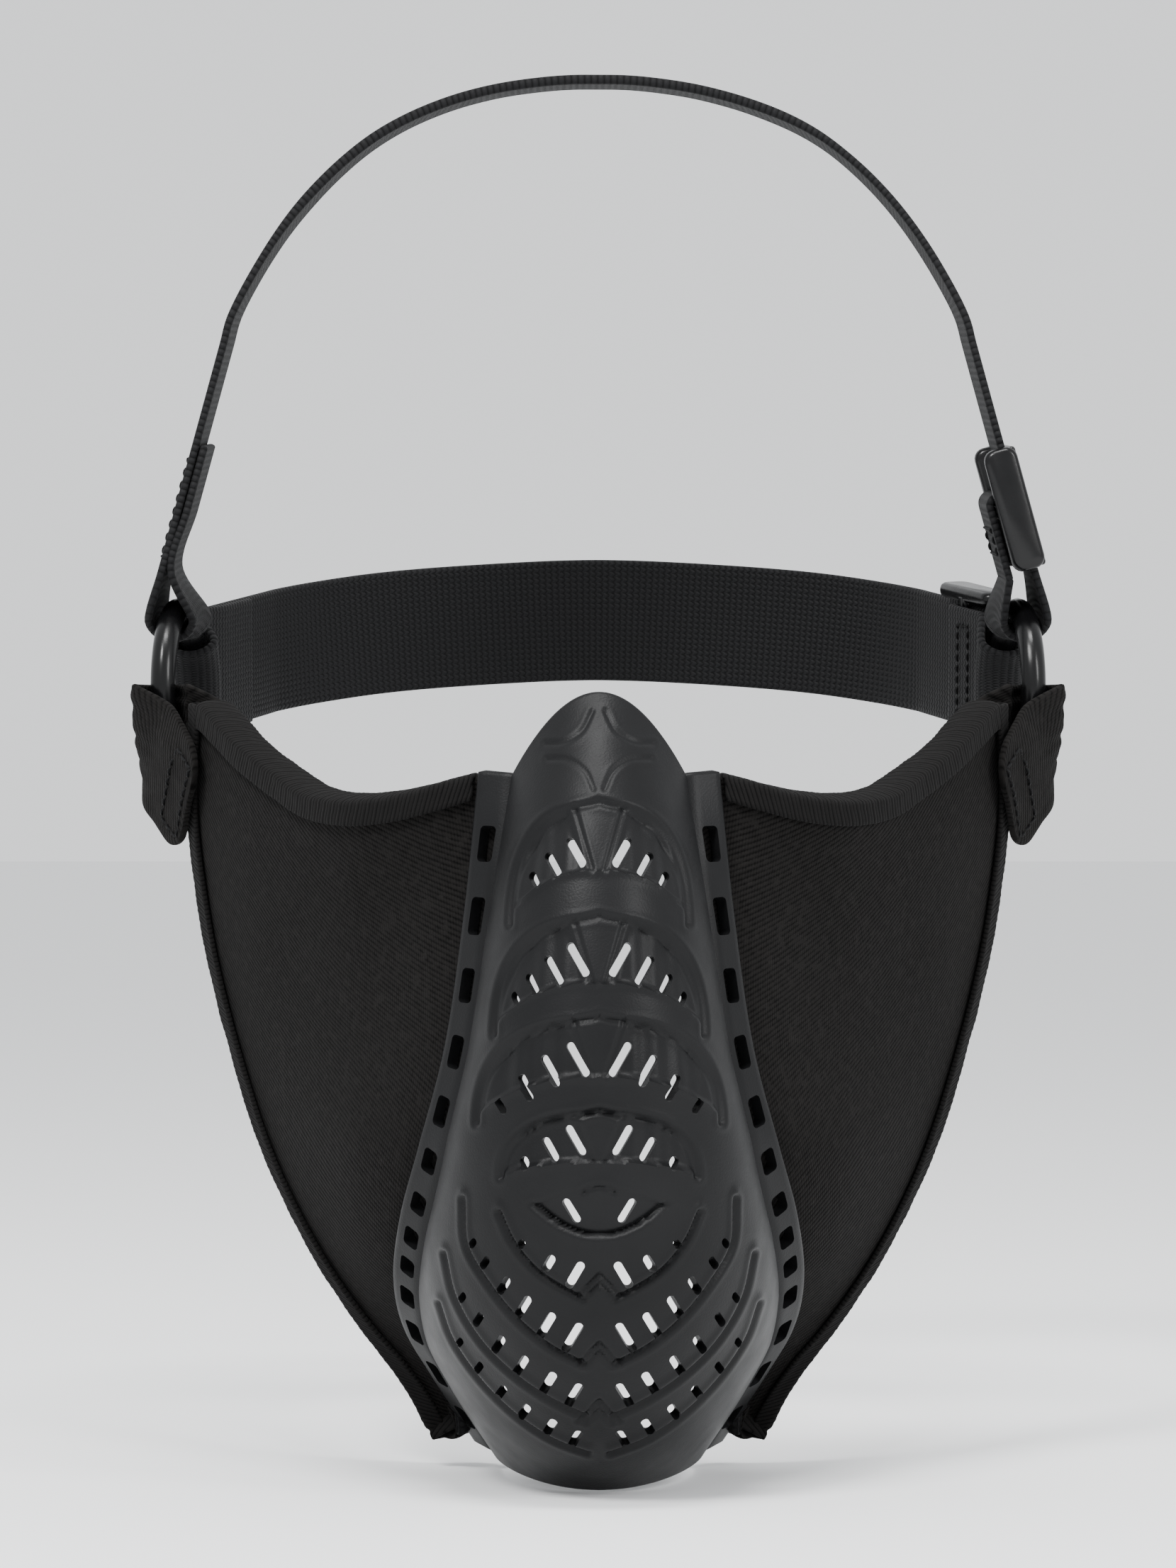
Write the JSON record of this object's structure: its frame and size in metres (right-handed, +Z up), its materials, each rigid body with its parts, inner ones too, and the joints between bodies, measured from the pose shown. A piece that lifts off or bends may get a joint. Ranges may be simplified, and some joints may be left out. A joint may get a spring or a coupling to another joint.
{
  "type": "half-face field mask",
  "caption": "Half-face mask with a vented moulded rubber muzzle, padded cloth cheek panels, side rings and adjustable crown and rear head straps.",
  "frame": {"origin": "the middle of the wearer's head, where the mask is held", "axes": "+Z up, -Y ahead of the face, +X to the wearer's left"},
  "size_m": [0.1834, 0.2242, 0.2708],
  "materials": {
    "rubber": "satin moulded rubber, charcoal black",
    "cloth": "fine black twill bonded to foam",
    "foam": "soft black foam sheet",
    "lining": "smooth black knit lining",
    "binding": "black overlocked edge",
    "webbing": "black nylon webbing",
    "thread": "black polyester thread",
    "plastic": "glossy black moulded nylon"
  },
  "bodies": {
    "mask": {"muzzle_shell": "rubber", "left_cheek_face": "cloth", "right_cheek_face": "cloth", "left_cheek_foam": "foam", "right_cheek_foam": "foam", "left_cheek_lining": "lining", "right_cheek_lining": "lining", "left_top_binding": "binding", "right_top_binding": "binding", "left_rear_binding": "binding", "right_rear_binding": "binding", "left_tab": "cloth", "right_tab": "cloth", "left_tab_stitch": "thread", "right_tab_stitch": "thread"},
    "left_ring": {"left_ring": "plastic"},
    "right_ring": {"right_ring": "plastic"},
    "top_strap": {"top_strap": "webbing", "top_strap_return": "webbing", "top_strap_end_stitch": "thread"},
    "top_slider": {"top_slider": "plastic", "top_slider_stitch": "thread"},
    "rear_strap": {"rear_strap": "webbing", "rear_strap_return": "webbing", "rear_strap_end_stitch": "thread"},
    "rear_slider": {"rear_slider": "plastic", "rear_slider_stitch": "thread"}
  },
  "joints": [
    {"name": "top_strap_swing", "type": "hinge", "parent": "mask", "child": "top_strap", "pos_m": [0, 0.012, 0.019], "axis": [1, 0, 0], "range_deg": [-8, 25]},
    {"name": "rear_strap_swing", "type": "hinge", "parent": "mask", "child": "rear_strap", "pos_m": [0, 0.012, 0.019], "axis": [1, 0, 0], "range_deg": [-30, 7]},
    {"name": "left_ring_spin", "type": "hinge", "parent": "mask", "child": "left_ring", "pos_m": [0.0834, 0.012, 0.019], "axis": [0.9903, 0.1392, 0], "continuous": true},
    {"name": "right_ring_spin", "type": "hinge", "parent": "mask", "child": "right_ring", "pos_m": [-0.0834, 0.012, 0.019], "axis": [-0.9903, 0.1392, 0], "continuous": true},
    {"name": "top_slider_travel", "type": "slide", "parent": "top_strap", "child": "top_slider", "axis": [-0.2672, -0.0672, 0.9613], "range_m": [0, 0.025], "deforming": ["top_strap_return"]},
    {"name": "rear_slider_travel", "type": "slide", "parent": "rear_strap", "child": "rear_slider", "axis": [-0.342, 0.9305, 0.1308], "range_m": [0, 0.018], "deforming": ["rear_strap_return"]}
  ]
}
